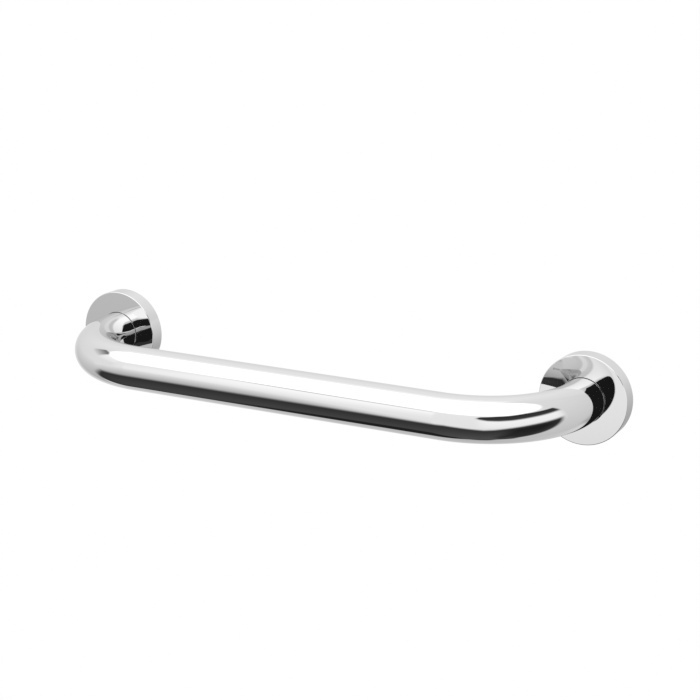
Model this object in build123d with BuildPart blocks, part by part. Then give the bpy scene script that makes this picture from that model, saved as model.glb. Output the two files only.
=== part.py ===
"""Grab bar: a U-bent tube welded to two wall plates, each plate hidden by a sliding round cover.

Millimetres. The origin lies on the wall, midway between the two legs. +X runs along the bar,
+Y into the wall and +Z up, so the bar stands out towards -Y.
"""

import os

from build123d import *

# Tube
leg_spacing = 300.0  # between the centre lines of the two legs
bend_radius = 55.0  # on the tube's centre line
straight_leg = 15.0  # from the wall to the start of the bend
tube_diameter = 25.0
tube_wall = 1.2

# Cover, pressed from sheet
cover_diameter = 50.0
cover_depth = 9.5  # from the wall to the front of the cover's face
cover_wall = 0.8
cover_edge_break = 0.7  # between rim and face
cover_hole_clearance = 0.3  # round the tube
cover_wall_gap = 0.2  # from the rim to the wall

# Mounting plate
plate_thickness = 3.0
plate_edge_chamfer = 0.5  # leads the cover on
plate_cover_clearance = 0.2  # between the plate's rim and the inside of the cover
plate_bore_clearance = 0.1  # round the tube
screw_hole_diameter = 5.5
screw_hole_count = 3
first_screw_angle = 90.0  # straight up

# Weld bead, in the corner between the tube's cut end and the bore of the plate
weld_height = 1.0  # up the bore
weld_wall_gap = 0.4  # from the bead to the wall

bar_distance = straight_leg + bend_radius
tube_end = weld_height + weld_wall_gap
tube_outer_radius = tube_diameter / 2
tube_inner_radius = tube_outer_radius - tube_wall
cover_hole_radius = tube_outer_radius + cover_hole_clearance
plate_bore_radius = tube_outer_radius + plate_bore_clearance
plate_radius = cover_diameter / 2 - cover_wall - plate_cover_clearance
screw_circle_radius = (plate_bore_radius + plate_radius) / 2

os.makedirs("parts", exist_ok=True)


def save(piece, name):
    """Label a finished piece and write its STEP file."""
    piece.part.label = name
    export_step(piece.part, f"parts/{name}.step")


# One tube, bent twice. Its cut ends stop just short of the wall.
with BuildPart() as bent_tube:
    with BuildLine() as centre_line:
        FilletPolyline(
            (-leg_spacing / 2, -tube_end),
            (-leg_spacing / 2, -bar_distance),
            (leg_spacing / 2, -bar_distance),
            (leg_spacing / 2, -tube_end),
            radius=bend_radius,
        )
    with BuildSketch(Plane(origin=centre_line.line @ 0, z_dir=centre_line.line % 0)):
        Circle(tube_outer_radius)
        Circle(tube_inner_radius, mode=Mode.SUBTRACT)
    sweep()
save(bent_tube, "bent_tube")

for side, leg_x in (("left", -leg_spacing / 2), ("right", leg_spacing / 2)):
    # Sketches on this plane lie flat on the wall, centred on the leg, and extrude away from it.
    wall = Plane(origin=(leg_x, 0, 0), x_dir=(1, 0, 0), z_dir=(0, -1, 0))
    leg_axis = Axis((leg_x, 0, 0), (0, -1, 0))

    # Blanked plate: the tube goes into its bore, and screws through its holes hold it to the wall.
    with BuildPart() as mounting_plate:
        with BuildSketch(wall):
            Circle(plate_radius)
            Circle(plate_bore_radius, mode=Mode.SUBTRACT)
            with PolarLocations(screw_circle_radius, screw_hole_count, first_screw_angle):
                Circle(screw_hole_diameter / 2, mode=Mode.SUBTRACT)
        extrude(amount=plate_thickness)
        front_edges = mounting_plate.faces().sort_by(leg_axis)[-1].edges()
        chamfer(front_edges.sort_by(SortBy.LENGTH)[-1], plate_edge_chamfer)
    save(mounting_plate, f"{side}_mounting_plate")

    # Ring of weld metal on the tube's cut end, drawn as a half section and turned about the leg.
    with BuildPart() as weld:
        with BuildSketch(Plane(origin=(leg_x, 0, 0), z_dir=(0, 0, 1))):
            with BuildLine():
                root = (plate_bore_radius, -tube_end)
                plate_toe = (plate_bore_radius, weld_height - tube_end)
                tube_toe = (tube_inner_radius, -tube_end)
                Polyline(tube_toe, root, plate_toe, close=True)
            make_face()
        revolve(axis=leg_axis)
    save(weld, f"{side}_weld")

    # Pressed cup, open to the wall, with a hole in its face for the leg.
    with BuildPart() as cover:
        with BuildSketch(wall.offset(cover_wall_gap)):
            Circle(cover_diameter / 2)
        extrude(amount=cover_depth - cover_wall_gap)
        chamfer(cover.faces().sort_by(leg_axis)[-1].edges(), cover_edge_break)
        offset(amount=-cover_wall, openings=cover.faces().sort_by(leg_axis)[0])
        with BuildSketch(wall.offset(cover_depth)):
            Circle(cover_hole_radius)
        extrude(amount=-cover_wall, mode=Mode.SUBTRACT)
    save(cover, f"{side}_cover")
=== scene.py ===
"""Grab bar of polished stainless steel, dressed for a studio picture.

Metres, in the part's own frame: the origin lies on the wall between the two legs, +X runs along the
bar, +Y into the wall and +Z up.
"""

import math

import bmesh
import bpy
import numpy as np
from mathutils import Matrix, Vector


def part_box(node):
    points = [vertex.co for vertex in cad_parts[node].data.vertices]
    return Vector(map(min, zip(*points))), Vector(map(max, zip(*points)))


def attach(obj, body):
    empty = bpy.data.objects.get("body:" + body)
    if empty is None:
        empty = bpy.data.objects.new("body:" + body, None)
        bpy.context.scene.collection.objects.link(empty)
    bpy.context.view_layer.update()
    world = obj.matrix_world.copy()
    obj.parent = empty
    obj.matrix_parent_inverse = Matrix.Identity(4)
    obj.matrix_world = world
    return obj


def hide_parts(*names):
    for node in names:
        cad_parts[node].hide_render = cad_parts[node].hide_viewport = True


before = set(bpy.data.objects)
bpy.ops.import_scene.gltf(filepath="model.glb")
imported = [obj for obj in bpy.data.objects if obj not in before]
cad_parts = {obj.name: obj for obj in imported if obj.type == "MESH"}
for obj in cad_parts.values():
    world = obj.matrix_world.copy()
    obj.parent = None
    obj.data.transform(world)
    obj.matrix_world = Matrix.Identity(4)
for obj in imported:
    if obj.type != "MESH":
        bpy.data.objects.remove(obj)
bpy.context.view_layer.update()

scene = bpy.context.scene

# Bent tube
# One length of thin-walled stainless tube, bent twice on a mandrel bender and buffed to a mirror.
# Its two cut ends sit in the mounting plates and are welded there.
tube_low, tube_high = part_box("bent_tube")
tube_radius = (tube_high.z - tube_low.z) / 2
tube_wall = 0.0012
bend_radius = 0.055  # on the centre line
leg_x = tube_high.x - tube_radius
legs = (("left", -leg_x), ("right", leg_x))
bar_y = tube_low.y + tube_radius
tube_end_y = tube_high.y
steel_colour = "#DCDCDC"
steel_edge_tint = "#E4E4E4"  # how the steel holds its grey at a glancing angle
mirror_roughness = (0.012, 0.03)
buffing_patch = 0.009  # across one patch of the buffing wheel's haze
buffing_wave = 0.000002  # height of the slow waves that buffing leaves
satin_colour = "#A9A9A6"
satin_roughness = (0.3, 0.48)
draw_line_length, draw_line_width, draw_line_depth = 0.02, 0.0006, 0.00001
noise_span = (0.3, 0.7)  # nearly all of a noise pattern lies between these values


def linear(hex_colour):
    """A colour written as sRGB hex, in linear light with full alpha."""
    channels = [int(hex_colour[place : place + 2], 16) / 255 for place in (1, 3, 5)]
    return [c / 12.92 if c <= 0.04045 else ((c + 0.055) / 1.055) ** 2.4 for c in channels] + [1.0]


def add_node(tree, kind, inputs=None, **settings):
    """Add a node with its settings. Each input is a value, or a socket to link from."""
    node = tree.nodes.new(kind)
    for name, value in settings.items():
        setattr(node, name, value)
    for name, value in (inputs or {}).items():
        by_name = [socket for socket in node.inputs if socket.name == name and socket.enabled]
        socket = by_name[0] if by_name else node.inputs[name]
        if isinstance(value, bpy.types.NodeSocket):
            tree.links.new(value, socket)
        else:
            socket.default_value = value
    return node


def new_material(name):
    """A node material with nothing in its tree yet."""
    material = bpy.data.materials.new(name)
    material.use_nodes = True
    material.node_tree.nodes.clear()
    return material


def new_object(name, mesh, material=None):
    """Put a mesh in the scene under a name, with its material."""
    thing = bpy.data.objects.new(name, mesh)
    scene.collection.objects.link(thing)
    if material:
        mesh.materials.clear()
        mesh.materials.append(material)
    return thing


def finish_steel(steel, pattern, roughness_span, colours, relief=0.0):
    """Close a steel's tree. A noise pattern sets how rough it is and, with some relief, its bumps."""
    tree = steel.node_tree
    roughness = add_node(
        tree,
        "ShaderNodeMapRange",
        {
            "Value": pattern,
            "From Min": noise_span[0],
            "From Max": noise_span[1],
            "To Min": roughness_span[0],
            "To Max": roughness_span[1],
        },
    )
    inputs = {"Metallic": 1.0, "Roughness": roughness.outputs["Result"], **colours}
    if relief:
        bump = add_node(tree, "ShaderNodeBump", {"Height": pattern, "Distance": relief})
        inputs["Normal"] = bump.outputs["Normal"]
    shader = add_node(tree, "ShaderNodeBsdfPrincipled", inputs)
    add_node(tree, "ShaderNodeOutputMaterial", {"Surface": shader.outputs["BSDF"]})


# Stainless steel, buffed to a mirror: a pale neutral metal with very sharp reflections. The wheel
# leaves a faint haze in patches and slow waves that only show as a slight bend in a reflection.
mirror_steel = new_material("mirror_buffed_stainless_steel")
tree = mirror_steel.node_tree
place = add_node(tree, "ShaderNodeTexCoord").outputs["Object"]
haze = add_node(
    tree,
    "ShaderNodeTexNoise",
    {"Vector": place, "Scale": 1 / buffing_patch, "Detail": 2.0},
)
mirror_colours = {"Base Color": linear(steel_colour), "Specular Tint": linear(steel_edge_tint)}
finish_steel(mirror_steel, haze.outputs["Fac"], mirror_roughness, mirror_colours, buffing_wave)

# The same steel where no wheel reaches it, inside the tube and the covers: satin grey, with faint
# draw lines along the leg. They are drawn coarser than the real ones, which are too fine to show.
satin_steel = new_material("drawn_stainless_steel_unpolished")
tree = satin_steel.node_tree
place = add_node(tree, "ShaderNodeTexCoord").outputs["Object"]
drawn = add_node(
    tree,
    "ShaderNodeMapping",
    {"Vector": place, "Scale": (1 / draw_line_width, 1 / draw_line_length, 1 / draw_line_width)},
)
lines = add_node(
    tree,
    "ShaderNodeTexNoise",
    {"Vector": drawn.outputs["Vector"], "Scale": 1.0, "Detail": 3.0},
)
satin_colours = {"Base Color": linear(satin_colour)}
finish_steel(satin_steel, lines.outputs["Fac"], satin_roughness, satin_colours, draw_line_depth)


def new_geometry_tree(name, sizes):
    """A Geometry Nodes tree with named inputs for its sizes, and the node that holds them."""
    tree = bpy.data.node_groups.new(name, "GeometryNodeTree")
    kinds = {float: "NodeSocketFloat", int: "NodeSocketInt", Vector: "NodeSocketVector"}
    for size, value in sizes.items():
        tree.interface.new_socket(size, in_out="INPUT", socket_type=kinds[type(value)])
    tree.interface.new_socket("Geometry", in_out="OUTPUT", socket_type="NodeSocketGeometry")
    return tree, add_node(tree, "NodeGroupInput")


def finish_geometry(tree, geometry, material):
    """Close a Geometry Nodes tree: make its instances real and give all of it one material."""
    whole = add_node(tree, "GeometryNodeRealizeInstances", {"Geometry": geometry})
    finished = add_node(
        tree,
        "GeometryNodeSetMaterial",
        {"Geometry": whole.outputs["Geometry"], "Material": material},
    )
    add_node(tree, "NodeGroupOutput", {"Geometry": finished.outputs["Geometry"]})


def grow(name, tree, sizes, material):
    """Run a Geometry Nodes tree at these sizes and keep the result as a plain mesh object."""
    seed = new_object(name + "_seed", bpy.data.meshes.new(name + "_seed"))
    modifier = seed.modifiers.new(name, "NODES")
    modifier.node_group = tree
    sockets = {item.name: item.identifier for item in tree.interface.items_tree}
    for size, value in sizes.items():
        modifier[sockets[size]] = value
    evaluated = seed.evaluated_get(bpy.context.evaluated_depsgraph_get())
    mesh = bpy.data.meshes.new_from_object(evaluated)
    mesh.name = name
    seed.modifiers.remove(modifier)
    bpy.data.objects.remove(seed)
    return new_object(name, mesh, material)


tube_sizes = {
    "Left end": Vector((-leg_x, tube_end_y, 0)),
    "Left corner": Vector((-leg_x, bar_y, 0)),
    "Right corner": Vector((leg_x, bar_y, 0)),
    "Right end": Vector((leg_x, tube_end_y, 0)),
    "Bend radius": bend_radius,
    "Tube radius": tube_radius,
    "Steps in a bend": 72,
    "Steps round the tube": 128,
}
tree, sizes = new_geometry_tree("bent_tube", tube_sizes)
corners = add_node(
    tree,
    "GeometryNodeCurvePrimitiveQuadrilateral",
    {
        "Point 1": sizes.outputs["Left end"],
        "Point 2": sizes.outputs["Left corner"],
        "Point 3": sizes.outputs["Right corner"],
        "Point 4": sizes.outputs["Right end"],
    },
    mode="POINTS",
)
open_line = add_node(
    tree,
    "GeometryNodeSetSplineCyclic",
    {"Geometry": corners.outputs["Curve"], "Cyclic": False},
)
centre_line = add_node(
    tree,
    "GeometryNodeFilletCurve",
    {
        "Curve": open_line.outputs["Geometry"],
        "Radius": sizes.outputs["Bend radius"],
        "Count": sizes.outputs["Steps in a bend"],
    },
    mode="POLY",
)
ring = add_node(
    tree,
    "GeometryNodeCurvePrimitiveCircle",
    {"Radius": sizes.outputs["Tube radius"], "Resolution": sizes.outputs["Steps round the tube"]},
)
skin = add_node(
    tree,
    "GeometryNodeCurveToMesh",
    {"Curve": centre_line.outputs["Curve"], "Profile Curve": ring.outputs["Curve"]},
)
smooth = add_node(tree, "GeometryNodeSetShadeSmooth", {"Geometry": skin.outputs["Mesh"]})
finish_geometry(tree, smooth.outputs["Geometry"], mirror_steel)
tube = grow("polished_tube", tree, tube_sizes, mirror_steel)

merge_distance = 0.000002  # points as close as this are one
sharp_angle = math.radians(40)  # between two faces, from which their edge stays sharp


def clean_skin(mesh, inside):
    """Merge doubles, turn all faces away from a point inside, and keep open and sharp edges sharp."""
    work = bmesh.new()
    work.from_mesh(mesh)
    bmesh.ops.remove_doubles(work, verts=work.verts, dist=merge_distance)
    bmesh.ops.recalc_face_normals(work, faces=work.faces)
    for edge in work.edges:
        if edge.is_boundary or edge.calc_face_angle() > sharp_angle:
            edge.smooth = False
    nearest = min(work.faces, key=lambda face: (face.calc_center_median() - inside).length)
    if nearest.normal.dot(nearest.calc_center_median() - inside) < 0:
        bmesh.ops.reverse_faces(work, faces=work.faces)
    for face in work.faces:
        face.smooth = True
    work.to_mesh(mesh)
    work.free()


clean_skin(tube.data, Vector((0, bar_y, 0)))
tube.data.materials.append(satin_steel)  # inside, and on the cut ends
wall = tube.modifiers.new("wall", "SOLIDIFY")
wall.thickness = tube_wall
wall.offset = -1.0
wall.use_even_offset = True
wall.material_offset = 1
wall.material_offset_rim = 1
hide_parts("bent_tube")
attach(tube, "bar")

# Mounting plates
# Two round plates blanked from thick stainless sheet and left as rolled and pickled. A leg is welded
# into the bore of each, and three screws through its holes hold it to the wall.
plate_colour = "#B8B7B6"
plate_roughness = (0.3, 0.44)
bore_clearance = 0.0001  # round the tube
bore_radius = tube_radius + bore_clearance
heat_colours = ((0.0, "#6F7087"), (0.3, "#8C7A78"), (0.6, "#B7A684"), (1.0, plate_colour))
heat_reach = 0.0032  # how far from the bore the weld's heat has tinted the plate
heat_wander = 0.0016  # how far the edges of the tint stray in and out
rolling_length, rolling_width = 0.007, 0.0005  # coarser than the real grain, so that it shows
rolling_depth = 0.000008

# Stainless plate, rolled and pickled: dull silver with a faint grain along X, and round the bore the
# bands that welding leaves, blue at the edge, then brown, then straw.
pickled_plate = new_material("pickled_stainless_plate")
tree = pickled_plate.node_tree
place = add_node(tree, "ShaderNodeTexCoord").outputs["Object"]
split = add_node(tree, "ShaderNodeSeparateXYZ", {"Vector": place})
either_side = add_node(tree, "ShaderNodeMath", {0: split.outputs["X"]}, operation="ABSOLUTE")
from_leg = add_node(
    tree,
    "ShaderNodeMath",
    {0: either_side.outputs["Value"], 1: leg_x},
    operation="SUBTRACT",
)
on_plate = add_node(
    tree,
    "ShaderNodeCombineXYZ",
    {"X": from_leg.outputs["Value"], "Z": split.outputs["Z"]},
)
out = add_node(tree, "ShaderNodeVectorMath", {0: on_plate.outputs["Vector"]}, operation="LENGTH")
wander = add_node(
    tree,
    "ShaderNodeTexNoise",
    {"Vector": place, "Scale": 1 / heat_reach, "Detail": 2.0},
)
uneven = add_node(
    tree,
    "ShaderNodeMath",
    {0: wander.outputs["Fac"], 1: heat_wander, 2: out.outputs["Value"]},
    operation="MULTIPLY_ADD",
)
heat_start = bore_radius + heat_wander / 2
heat = add_node(
    tree,
    "ShaderNodeMapRange",
    {"Value": uneven.outputs["Value"], "From Min": heat_start, "From Max": heat_start + heat_reach},
)
tint = add_node(tree, "ShaderNodeValToRGB", {"Fac": heat.outputs["Result"]})
stops = tint.color_ramp.elements
while len(stops) < len(heat_colours):
    stops.new(0.5)
for stop, (position, colour) in zip(stops, heat_colours):
    stop.position = position
    stop.color = linear(colour)
rolled = add_node(
    tree,
    "ShaderNodeMapping",
    {"Vector": place, "Scale": (1 / rolling_length, 1 / rolling_width, 1 / rolling_width)},
)
grain = add_node(
    tree,
    "ShaderNodeTexNoise",
    {"Vector": rolled.outputs["Vector"], "Scale": 1.0, "Detail": 3.0},
)
plate_colours = {"Base Color": tint.outputs["Color"]}
finish_steel(pickled_plate, grain.outputs["Fac"], plate_roughness, plate_colours, rolling_depth)

for side, middle_x in legs:
    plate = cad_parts[side + "_mounting_plate"]
    plate.data.materials.clear()
    plate.data.materials.append(pickled_plate)

# Weld beads
# A bead of weld metal runs round the cut end of each leg and joins it to the bore of its plate. It
# was laid by hand in overlapping dabs, on the wall side, where the cover and the wall hide it.
dab_colours = ("#A8A5A0", "#7F7A86")
weld_roughness = (0.25, 0.4)
dab_radius = 0.00062
tint_patch = 3 * dab_radius
core_radius = 0.75 * dab_radius
bead_radius = 0.01205  # from the leg's axis to the middle of the bead
bead_y = 0.00105  # from the wall to the middle of the bead

# Weld metal as laid: rippled, a little duller than the plate, clouded with blue and brown heat tint.
weld_metal = new_material("stainless_weld_metal")
tree = weld_metal.node_tree
place = add_node(tree, "ShaderNodeTexCoord").outputs["Object"]
cloud = add_node(
    tree,
    "ShaderNodeTexNoise",
    {"Vector": place, "Scale": 1 / tint_patch, "Detail": 2.0},
)
tint = add_node(
    tree,
    "ShaderNodeMix",
    {"Factor": cloud.outputs["Fac"], "A": linear(dab_colours[0]), "B": linear(dab_colours[1])},
    data_type="RGBA",
)
finish_steel(weld_metal, cloud.outputs["Fac"], weld_roughness, {"Base Color": tint.outputs[2]})

bead_sizes = {
    "Middle": Vector((-leg_x, -bead_y, 0)),
    "Bead radius": bead_radius,
    "Core radius": core_radius,
    "Steps round the core": 12,
    "Dabs": 95,
    "Dab radius": dab_radius,
    "Dab segments": 10,
    "Dab rings": 6,
    "Smallest dab": 0.88,
    "Largest dab": 1.06,
    "Seed": 4,
}
tree, sizes = new_geometry_tree("weld_bead", bead_sizes)
ring = add_node(
    tree,
    "GeometryNodeCurvePrimitiveCircle",
    {"Radius": sizes.outputs["Bead radius"], "Resolution": sizes.outputs["Dabs"]},
)
rod = add_node(
    tree,
    "GeometryNodeCurvePrimitiveCircle",
    {"Radius": sizes.outputs["Core radius"], "Resolution": sizes.outputs["Steps round the core"]},
)
core = add_node(
    tree,
    "GeometryNodeCurveToMesh",
    {"Curve": ring.outputs["Curve"], "Profile Curve": rod.outputs["Curve"]},
)
dab = add_node(
    tree,
    "GeometryNodeMeshUVSphere",
    {
        "Radius": sizes.outputs["Dab radius"],
        "Segments": sizes.outputs["Dab segments"],
        "Rings": sizes.outputs["Dab rings"],
    },
)
size = add_node(
    tree,
    "FunctionNodeRandomValue",
    {
        "Min": sizes.outputs["Smallest dab"],
        "Max": sizes.outputs["Largest dab"],
        "Seed": sizes.outputs["Seed"],
    },
    data_type="FLOAT",
)
laid = add_node(
    tree,
    "GeometryNodeInstanceOnPoints",
    {"Points": ring.outputs["Curve"], "Instance": dab.outputs["Mesh"], "Scale": size.outputs[1]},
)
bead = add_node(tree, "GeometryNodeJoinGeometry")
for part in (core.outputs["Mesh"], laid.outputs["Instances"]):
    tree.links.new(part, bead.inputs["Geometry"])
upright = add_node(
    tree,
    "GeometryNodeTransform",
    {
        "Geometry": bead.outputs["Geometry"],
        "Rotation": (math.radians(90), 0, 0),
        "Translation": sizes.outputs["Middle"],
    },
)
smooth = add_node(tree, "GeometryNodeSetShadeSmooth", {"Geometry": upright.outputs["Geometry"]})
finish_geometry(tree, smooth.outputs["Geometry"], weld_metal)

for side, middle_x in legs:
    bead_sizes["Middle"] = Vector((middle_x, -bead_y, 0))
    weld = grow(side + "_weld_bead", tree, bead_sizes, weld_metal)
    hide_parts(side + "_weld")
    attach(weld, "bar")

# Covers
# Two cups pressed from thin stainless sheet and buffed with the tube. Each slides along its leg and
# sits over a mounting plate, with its rim just off the wall, and hides the screws.
sheet = 0.0008
edge_radius = 0.0004  # pressed between face and rim
hole_lip = 0.0002  # rounding at the hole's edge
hole_clearance = 0.0002  # round the tube, so that the cover still clears it where the bend begins
face_support = 0.00003  # a ring this close to a rounding keeps the flat face flat to the eye
arc_steps = 12
spin_steps = 240


def quarter_arc(centre, radius, start_angle):
    """Points on a quarter turn about a centre, in the plane of radius and depth."""
    angles = [math.radians(start_angle + 90 * step / arc_steps) for step in range(arc_steps + 1)]
    return [(centre[0] + radius * math.cos(a), centre[1] + radius * math.sin(a)) for a in angles]


for side, middle_x in legs:
    cover_low, cover_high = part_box(side + "_cover")
    cover_radius = (cover_high.z - cover_low.z) / 2
    face_y, rim_y = cover_low.y, cover_high.y
    back_y = face_y + sheet
    hole_radius = tube_radius + hole_clearance
    lip = quarter_arc((hole_radius + hole_lip, face_y + hole_lip), hole_lip, 180)
    corner = quarter_arc((cover_radius - edge_radius, face_y + edge_radius), edge_radius, 270)
    polished = [
        (hole_radius, back_y),
        *lip,
        (lip[-1][0] + face_support, face_y),
        (corner[0][0] - face_support, face_y),
        *corner,
        (cover_radius, corner[-1][1] + face_support),
        (cover_radius, rim_y),
    ]
    unpolished = [
        (cover_radius, rim_y),
        (cover_radius - sheet, rim_y),
        (cover_radius - sheet, back_y),
        (hole_radius, back_y),
    ]
    mesh = bpy.data.meshes.new(side + "_polished_cover")
    work = bmesh.new()
    for finish, outline in ((mirror_steel, polished), (satin_steel, unpolished)):
        points = [work.verts.new((middle_x + radius, depth, 0)) for radius, depth in outline]
        edges = [work.edges.new(pair) for pair in zip(points, points[1:])]
        already = set(work.faces)
        bmesh.ops.spin(
            work,
            geom=points + edges,
            cent=(middle_x, 0, 0),
            axis=(0, 1, 0),
            angle=math.tau,
            steps=spin_steps,
        )
        for face in set(work.faces) - already:
            face.material_index = len(mesh.materials)
        mesh.materials.append(finish)
    work.to_mesh(mesh)
    work.free()
    clean_skin(mesh, Vector((middle_x + (hole_radius + cover_radius) / 2, face_y + sheet / 2, 0)))
    cover = new_object(side + "_polished_cover", mesh)
    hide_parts(side + "_cover")
    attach(cover, side + "_cover")

# Camera
# It stands to the right of the bar, looks down on it and isn't tilted to a side, as in the
# photograph.
camera_azimuth = math.radians(28.03)
camera_elevation = math.radians(15.496)
camera_distance = 1.0194
camera_right, camera_up = 0.00405, 0.0058  # the picture's middle is this far from the origin
lens_in_pixels, picture_pixels = 1770.1, 700
sensor_millimetres = 36
back = Vector(
    (
        math.sin(camera_azimuth) * math.cos(camera_elevation),
        -math.cos(camera_azimuth) * math.cos(camera_elevation),
        math.sin(camera_elevation),
    )
)
right = Vector((math.cos(camera_azimuth), math.sin(camera_azimuth), 0))
up = back.cross(right)
stand = back * camera_distance + right * camera_right + up * camera_up
turned_to_camera = Matrix((right, up, back)).transposed().to_4x4()
camera = bpy.data.objects.new("camera", bpy.data.cameras.new("camera"))
scene.collection.objects.link(camera)
camera.data.sensor_width = sensor_millimetres
camera.data.lens = lens_in_pixels / picture_pixels * sensor_millimetres
camera.matrix_world = Matrix.Translation(stand) @ turned_to_camera
scene.camera = camera

# Studio
# The bar hangs free in a pale grey room, high over a plain floor and before a lit white backdrop. Far
# round it stands a tent of white cloth that only the metal sees, with a soft lamp overhead and dark
# boards in front and below.
room_grey, backdrop_white = "#C8C8C8", "#FFFFFF"
floor_z, floor_half_width = -7.0, 40.0  # lower than the backdrop's edge
backdrop_distance = 6.0  # behind the bar
backdrop_white_radius, backdrop_radius = 2.05, 5.0  # its white middle, and where it has faded out
backdrop_segments = 96

scene.view_settings.view_transform = "Standard"
scene.cycles.glossy_bounces = 12  # the bends and covers mirror each other many times over
scene.cycles.min_light_bounces = 12  # a path ended early would leave a speck
world = bpy.data.worlds.new("pale_room")
world.use_nodes = True
world.node_tree.nodes["Background"].inputs["Color"].default_value = linear(room_grey)
world.cycles.sampling_method = "NONE"
scene.world = world


def light_up(material, light, body=None):
    """Let a studio surface shine by itself. With a body, it is clear where that is 0."""
    tree = material.node_tree
    surface = add_node(tree, "ShaderNodeEmission", light).outputs["Emission"]
    if body is not None:
        clear = add_node(tree, "ShaderNodeBsdfTransparent").outputs["BSDF"]
        mixed = add_node(tree, "ShaderNodeMixShader", {0: body, 1: clear, 2: surface})
        surface = mixed.outputs["Shader"]
    add_node(tree, "ShaderNodeOutputMaterial", {"Surface": surface})
    material.cycles.emission_sampling = "NONE"


def hide_from(rays, thing):
    """Let these kinds of rays pass a studio thing as if it weren't there."""
    for ray in rays:
        setattr(thing, "visible_" + ray, False)


# Plain floor paint, evenly lit to the room's own grey, so that no line shows where the two meet
floor_paint = new_material("pale_floor_paint")
light_up(floor_paint, {"Color": linear(room_grey)})
floor_corners = [
    (x * floor_half_width, y * floor_half_width, floor_z)
    for x, y in ((-1, -1), (1, -1), (1, 1), (-1, 1))
]
mesh = bpy.data.meshes.new("floor")
mesh.from_pydata(floor_corners, [], [(0, 1, 2, 3)])
floor = new_object("floor", mesh, floor_paint)
hide_from(("diffuse", "glossy", "transmission", "shadow"), floor)

# White cloth lit from behind, fading out to nothing round its middle
backdrop_middle = stand - back * (camera_distance + backdrop_distance)
backdrop_cloth = new_material("lit_backdrop_cloth")
tree = backdrop_cloth.node_tree
place = add_node(tree, "ShaderNodeTexCoord").outputs["Object"]
out = add_node(
    tree,
    "ShaderNodeVectorMath",
    {0: place, 1: backdrop_middle},
    operation="DISTANCE",
)
body = add_node(
    tree,
    "ShaderNodeMapRange",
    {"Value": out.outputs["Value"], "From Min": backdrop_radius, "From Max": backdrop_white_radius},
    interpolation_type="SMOOTHSTEP",
)
light_up(backdrop_cloth, {"Color": linear(backdrop_white)}, body.outputs["Result"])
work = bmesh.new()
bmesh.ops.create_circle(
    work,
    cap_ends=True,
    segments=backdrop_segments,
    radius=backdrop_radius,
    matrix=Matrix.Translation(backdrop_middle) @ turned_to_camera,
)
mesh = bpy.data.meshes.new("backdrop")
work.to_mesh(mesh)
work.free()
backdrop = new_object("backdrop", mesh, backdrop_cloth)
hide_from(("diffuse", "glossy", "transmission", "shadow"), backdrop)

# White tent cloth, as bright as the panels laid over it below. Seen through four mirrors or more it
# is plain, and lit to make up for what they swallow.
tent_sizes = {"Radius": 8.0, "Segments": 720, "Rings": 360}
deep_level = 1.8
deep_mirrors = 3.5  # more mirrors than this count as four or more
tent_cloth = new_material("lit_tent_cloth")
tree = tent_cloth.node_tree
path = add_node(tree, "ShaderNodeLightPath")
deep = add_node(
    tree,
    "ShaderNodeMath",
    {0: path.outputs["Glossy Depth"], 1: deep_mirrors},
    operation="GREATER_THAN",
)
shine = add_node(tree, "ShaderNodeAttribute", attribute_name="shine")
level = add_node(
    tree,
    "ShaderNodeMix",
    {"Factor": deep.outputs["Value"], "A": shine.outputs["Fac"], "B": deep_level},
)
light_up(tent_cloth, {"Strength": level.outputs["Result"]})
tree, sizes = new_geometry_tree("tent", tent_sizes)
ball = add_node(
    tree,
    "GeometryNodeMeshUVSphere",
    {name: sizes.outputs[name] for name in tent_sizes},
)
finish_geometry(tree, ball.outputs["Mesh"], tent_cloth)
tent = grow("tent", tree, tent_sizes, tent_cloth)
points = np.empty(len(tent.data.vertices) * 3)
tent.data.vertices.foreach_get("co", points)
points = points.reshape(-1, 3) / tent_sizes["Radius"]
azimuth = np.degrees(np.arctan2(points[:, 0], -points[:, 1]))
elevation = np.degrees(np.arcsin(np.clip(points[:, 2], -1, 1)))
tent_light = np.ones(len(points))


def fade(value, middle, width):
    """0 below a soft edge, 1 above it."""
    step = np.clip((value - middle) / width + 0.5, 0, 1)
    return step * step * (3 - 2 * step)


def lay(light, brightness, softness, outline):
    """Lay a panel over the tent. All angles are degrees.

    The outline goes from left to right, with azimuth, lower and upper elevation at each point.
    Brightness is that of the lower and the upper edge, and softness the width of the fade at the
    ends, at the lower edge and at the upper edge.
    """
    ends, below, above = softness
    way, low, high = np.array(outline, float).T
    for turn in (-360, 0, 360):
        around = azimuth + turn
        bottom = np.interp(around, way, low)
        top = np.interp(around, way, high)
        cover = fade(around, way[0], ends) * (1 - fade(around, way[-1], ends))
        cover *= fade(elevation, bottom, below) * (1 - fade(elevation, top, above))
        level = np.interp((elevation - bottom) / (top - bottom), (0, 1), brightness)
        light += (level - light) * cover


past_pole = 95  # a panel that reaches this far covers the pole, with no fade there
# Cloth behind, in half light at the right and low down, with a dark stand in it
lay(tent_light, (1.06, 1.13), (40, 30, 20), [(-180, -10, 75), (-110, -10, 75)])
lay(tent_light, (0.55, 0.84), (20, 8, 14), [(-206, -past_pole, -45), (-105, -past_pole, -45)])
lay(tent_light, (0.66, 1.0), (16, 8, 14), [(98, -past_pole, 75), (154, -past_pole, 75)])
lay(tent_light, (0.5, 0.98), (16, 8, 6), [(142, -36, 12), (196, -36, 12)])
# Cloth in front, brighter at the right and in one patch at the left
lay(tent_light, (1.06, 1.1), (10, 6, 12), [(-48, -30, 36), (98, -30, 36)])
lay(tent_light, (1.06, 1.26), (10, 8, 6), [(-76, 20, 40), (-48, 18, 36)])
lay(tent_light, (1.14, 1.25), (16, 8, 8), [(22, -22, 13), (60, -18, 20), (98, -8, 28)])
lay(tent_light, (1.12, 1.36), (8, 10, 8), [(-36, 2, 30), (-23, 2, 28)])
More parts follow.
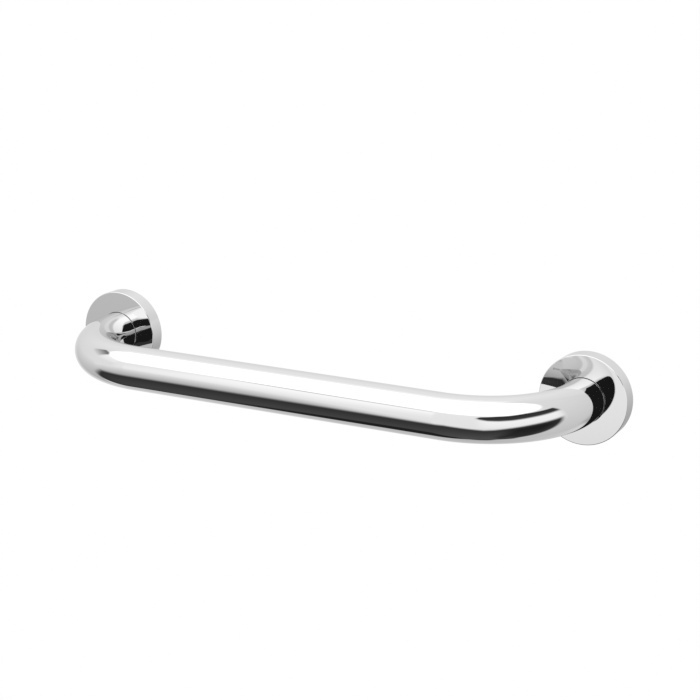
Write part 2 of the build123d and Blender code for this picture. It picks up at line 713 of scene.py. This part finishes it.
# Shade over the left end of the dark table
shade = [(-85, -40, -8), (-60, -30, 2), (-38, -29, 8), (-31, -29, 3), (-25, -28, -7)]
lay(tent_light, (0.4, 1.02), (9, 4, 8), shade)
lay(tent_light, (0.6, 1.0), (10, 4, 10), [(-118, -46, 2), (-100, -42, 4), (-74, -33, 4)])
# Soft lamp overhead, with its glow on the cloth behind
lay(tent_light, (1.04, 1.38), (16, 6, 6), [(-180, 58, 78), (-150, 49, 71), (-108, 42, 59)])
lamp_level = 1.75
lamp_height, lamp_x, lamp_y = 1.0, -0.06, -0.57
lamp_half_width, lamp_half_depth = 1.2, 0.86
lamp_squareness = 2.5  # 2 would be an ellipse, and much more a box with sharp corners
turn = np.radians(np.arange(-190, 191))  # a little past the full circle, so that no seam shows
across = np.sign(np.sin(turn)) * np.abs(np.sin(turn)) ** (2 / lamp_squareness)
forward = np.sign(np.cos(turn)) * np.abs(np.cos(turn)) ** (2 / lamp_squareness)
lamp_across = lamp_x + lamp_half_width * across
lamp_forward = lamp_half_depth * forward - lamp_y
lamp_way = np.degrees(np.unwrap(np.arctan2(lamp_across, lamp_forward)))
lamp_edge = np.degrees(np.arctan2(lamp_height, np.hypot(lamp_across, lamp_forward)))
lamp = [(way, low, past_pole) for way, low in zip(lamp_way, lamp_edge)]
lay(tent_light, (lamp_level, lamp_level), (1, 7, 5), lamp)
# Dark strip at the right
strip = [(18, 20, 25), (22, 16, 29), (28, 11.5, 30), (38, 10, 32)]
strip += [(50, 11.5, 33), (67, 17, 37), (102, 26, 40)]
lay(tent_light, (0.06, 0.03), (5, 9, 4), strip)
# Dark table, darkest at the right
table_edge = [(-105, -59), (-97, -42), (-88, -32), (-68, -19.5), (-35, -24), (-12, -22)]
table_edge += [(25, -33.5), (35, -31), (67, -13.5), (99, 0)]
lay(tent_light, (0.11, 0.035), (8, 6, 12), [(way, -past_pole, high) for way, high in table_edge])
lay(tent_light, (0.035, 0.015), (24, 6, 12), [(50, -75, -31), (75, -75, -19), (93, -75, -12)])
lay(tent_light, (0.015, 0.02), (12, 6, 3), [(-96, -80, -59), (-56, -80, -61)])
lay(tent_light, (0.07, 0.06), (14, 1, 6), [(70, -past_pole, -66), (112, -past_pole, -74)])
lay(tent_light, (0.08, 0.08), (1, 1, 4), [(-185, -past_pole, -84), (185, -past_pole, -84)])
# Stand at the left
lay(tent_light, (1.0, 0.14), (6, 6, 3), [(-97, 25, 40), (-86, 22, 41), (-77, 20, 38)])
# Frame under the lamp's front edge
lay(tent_light, (0.7, 0.7), (5, 1.5, 1.5), [(-37, 31, 32.5), (-32, 28.5, 31), (-26, 28.5, 30.5)])
tent.data.attributes.new("shine", "FLOAT", "POINT").data.foreach_set("value", tent_light)
hide_from(("camera", "diffuse", "transmission", "shadow"), tent)

curtain_mirrors, half_a_mirror = 2.0, 0.5


def hang(name, brightness, bottom, top, soft):
    """Hang a cloth near the camera, from its left to its right end, with soft sides.

    Brightness is that of its bottom and its top. It shows only in light that was mirrored exactly
    twice, as between a leg and its cover.
    """
    cloth = new_material(name + "_cloth")
    tree = cloth.node_tree
    path = add_node(tree, "ShaderNodeLightPath")
    mirrored = add_node(
        tree,
        "ShaderNodeMath",
        {0: path.outputs["Glossy Depth"], 1: curtain_mirrors, 2: half_a_mirror},
        operation="COMPARE",
    )
    body = add_node(tree, "ShaderNodeAttribute", attribute_name="body")
    shown = add_node(
        tree,
        "ShaderNodeMath",
        {0: mirrored.outputs["Value"], 1: body.outputs["Fac"]},
        operation="MULTIPLY",
    )
    shine = add_node(tree, "ShaderNodeAttribute", attribute_name="shine")
    light_up(cloth, {"Strength": shine.outputs["Fac"]}, shown.outputs["Value"])
    points = []
    for ends in (bottom, top):
        left, right = map(Vector, ends)
        inset = soft / (right - left).length
        points += [left.lerp(right, share) for share in (0, inset, 1 - inset, 1)]
    row = len(points) // 2
    mesh = bpy.data.meshes.new(name)
    mesh.from_pydata(points, [], [(n, n + 1, n + row + 1, n + row) for n in range(row - 1)])
    mesh.attributes.new("body", "FLOAT", "POINT").data.foreach_set("value", (0, 1, 1, 0) * 2)
    levels = [level for level in brightness for _ in range(row)]
    mesh.attributes.new("shine", "FLOAT", "POINT").data.foreach_set("value", levels)
    curtain = new_object(name, mesh, cloth)
    hide_from(("camera", "diffuse", "transmission", "shadow"), curtain)


hang(
    "dark_curtain",
    brightness=(0.017, 0.017),
    bottom=((-0.145, -1.1, -1.2), (1.01, -0.575, -1.2)),
    top=((0.32, -1.1, 0.65), (1.01, -0.575, 0.65)),
    soft=0.02,
)
hang(
    "white_curtain",
    brightness=(1.3, 1.95),
    bottom=((-0.30, -1.11, -0.3), (0.26, -1.11, -0.3)),
    top=((-0.30, -1.11, 0.9), (0.26, -1.11, 0.9)),
    soft=0.08,
)
hang(
    "narrow_white_curtain",
    brightness=(1.4, 1.45),
    bottom=((-0.66, -1.11, -0.3), (-0.42, -1.11, -0.3)),
    top=((-0.66, -1.11, 0.9), (-0.42, -1.11, 0.9)),
    soft=0.06,
)
hang(
    "side_curtain",
    brightness=(1.05, 1.15),
    bottom=((-1.1, -1.3, 0.02), (-1.1, -0.2, 0.02)),
    top=((-1.1, -1.3, 0.9), (-1.1, -0.2, 0.9)),
    soft=0.12,
)
